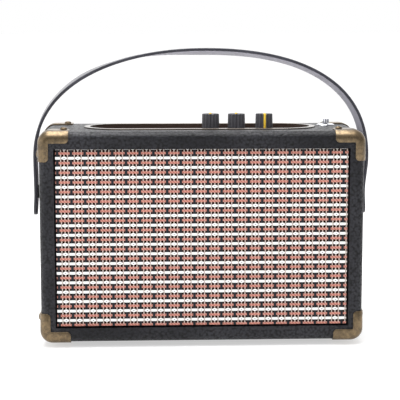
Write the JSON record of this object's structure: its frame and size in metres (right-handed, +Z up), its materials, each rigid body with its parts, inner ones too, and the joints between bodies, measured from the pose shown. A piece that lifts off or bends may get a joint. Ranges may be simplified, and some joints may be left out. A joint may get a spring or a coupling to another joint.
{
  "type": "portable radio",
  "caption": "Portable radio: leather-covered wooden cabinet with a woven grille, top knobs in a recess, a pull-out antenna and a swinging carrying strap.",
  "frame": {"origin": "on the surface that the feet stand on, under the middle of the whole radio", "axes": "+X to the right seen from the front, +Y towards the back, +Z up"},
  "size_m": [0.257, 0.0888, 0.2221],
  "materials": {
    "wood": "plain board, glued and screwed",
    "leather": "pebble-grained black leathercloth",
    "strap_leather": "black strap leather, grey inner face",
    "grille_cloth": "woven cloth in cream, salmon and black",
    "antique_brass": "aged, mottled brass plate",
    "trim_metal": "bright satin, bevelled",
    "panel_metal": "dark bronze, brushed",
    "tray_plastic": "dark brown moulding",
    "knob_black": "satin black, fluted",
    "pointer_yellow": "satin yellow",
    "chrome": "polished",
    "steel": "zinc-plated",
    "magnet": "ferrite with steel plates",
    "speaker_paper": "black pressed paper",
    "rubber": "matt black",
    "rear_board": "fibreboard with a fine black textured paint",
    "black_plastic": "moulded, fine spark texture",
    "circuit_board": "green solder mask",
    "aluminium": "as extruded",
    "battery_wrap": "shrink wrap"
  },
  "bodies": {
    "cabinet": {"amplifier_board": "circuit_board", "antenna_bezel": "chrome", "antenna_holder": "wood", "antenna_sleeve": "chrome", "audio_socket": "black_plastic", "bass_port": "black_plastic", "battery_cells": "battery_wrap", "battery_holder": "black_plastic", "board_standoffs": "steel", "cabinet_shell": "wood", "charging_socket": "black_plastic", "control_board": "circuit_board", "control_nuts": "steel", "control_panel": "panel_metal", "control_tray": "tray_plastic", "control_trim_ring": "trim_metal", "corner_protectors_front": "antique_brass", "corner_protectors_rear": "antique_brass", "corner_screws": "antique_brass", "foot_screws": "steel", "front_baffle": "rear_board", "grille_cloth": "grille_cloth", "grille_frame": "rear_board", "grille_pegs": "black_plastic", "heat_sink": "aluminium", "leather_covering": "leather", "rear_cleats": "wood", "rear_panel": "rear_board", "rear_panel_screws": "steel", "rubber_feet": "rubber", "smoothing_capacitors": "black_plastic", "socket_plate": "black_plastic", "speaker_baskets": "steel", "speaker_cones": "speaker_paper", "speaker_dust_caps": "speaker_paper", "speaker_magnets": "magnet", "speaker_screws": "steel", "speaker_surrounds": "rubber", "strap_collars": "black_plastic", "strap_studs": "antique_brass", "tone_potentiometer": "steel", "tuner_module": "aluminium", "tuning_encoder": "steel", "volume_potentiometer": "steel"},
    "strap": {"carrying_strap": "strap_leather"},
    "volume_control": {"volume_knob": "knob_black", "volume_knob_pointer": "pointer_yellow", "volume_shaft": "steel"},
    "tone_control": {"tone_knob": "knob_black", "tone_knob_pointer": "pointer_yellow", "tone_shaft": "steel"},
    "tuning_control": {"tuning_knob": "knob_black", "tuning_knob_pointer": "pointer_yellow", "tuning_shaft": "steel"},
    "antenna_lower": {"antenna_section_1": "chrome"},
    "antenna_second": {"antenna_section_2": "chrome"},
    "antenna_third": {"antenna_section_3": "chrome"},
    "antenna_top": {"antenna_section_4": "chrome", "antenna_tip": "chrome"}
  },
  "joints": [
    {"name": "strap_swing", "type": "hinge", "parent": "cabinet", "child": "strap", "pos_m": [0, 0, 0.112], "axis": [1, 0, 0], "range_deg": [-110, 110]},
    {"name": "volume_turn", "type": "hinge", "parent": "cabinet", "child": "volume_control", "pos_m": [0.0082, 0.002, 0.155], "axis": [0, 0, 1], "range_deg": [-150, 150]},
    {"name": "tone_turn", "type": "hinge", "parent": "cabinet", "child": "tone_control", "pos_m": [0.028, 0.002, 0.155], "axis": [0, 0, 1], "range_deg": [-150, 150]},
    {"name": "tuning_turn", "type": "hinge", "parent": "cabinet", "child": "tuning_control", "pos_m": [0.0492, 0.002, 0.155], "axis": [0, 0, 1], "continuous": true},
    {"name": "antenna_lower_pull", "type": "slide", "parent": "cabinet", "child": "antenna_lower", "axis": [0, 0, 1], "range_m": [0, 0.118]},
    {"name": "antenna_second_pull", "type": "slide", "parent": "antenna_lower", "child": "antenna_second", "axis": [0, 0, 1], "range_m": [0, 0.118]},
    {"name": "antenna_third_pull", "type": "slide", "parent": "antenna_second", "child": "antenna_third", "axis": [0, 0, 1], "range_m": [0, 0.118]},
    {"name": "antenna_top_pull", "type": "slide", "parent": "antenna_third", "child": "antenna_top", "axis": [0, 0, 1], "range_m": [0, 0.118]}
  ]
}
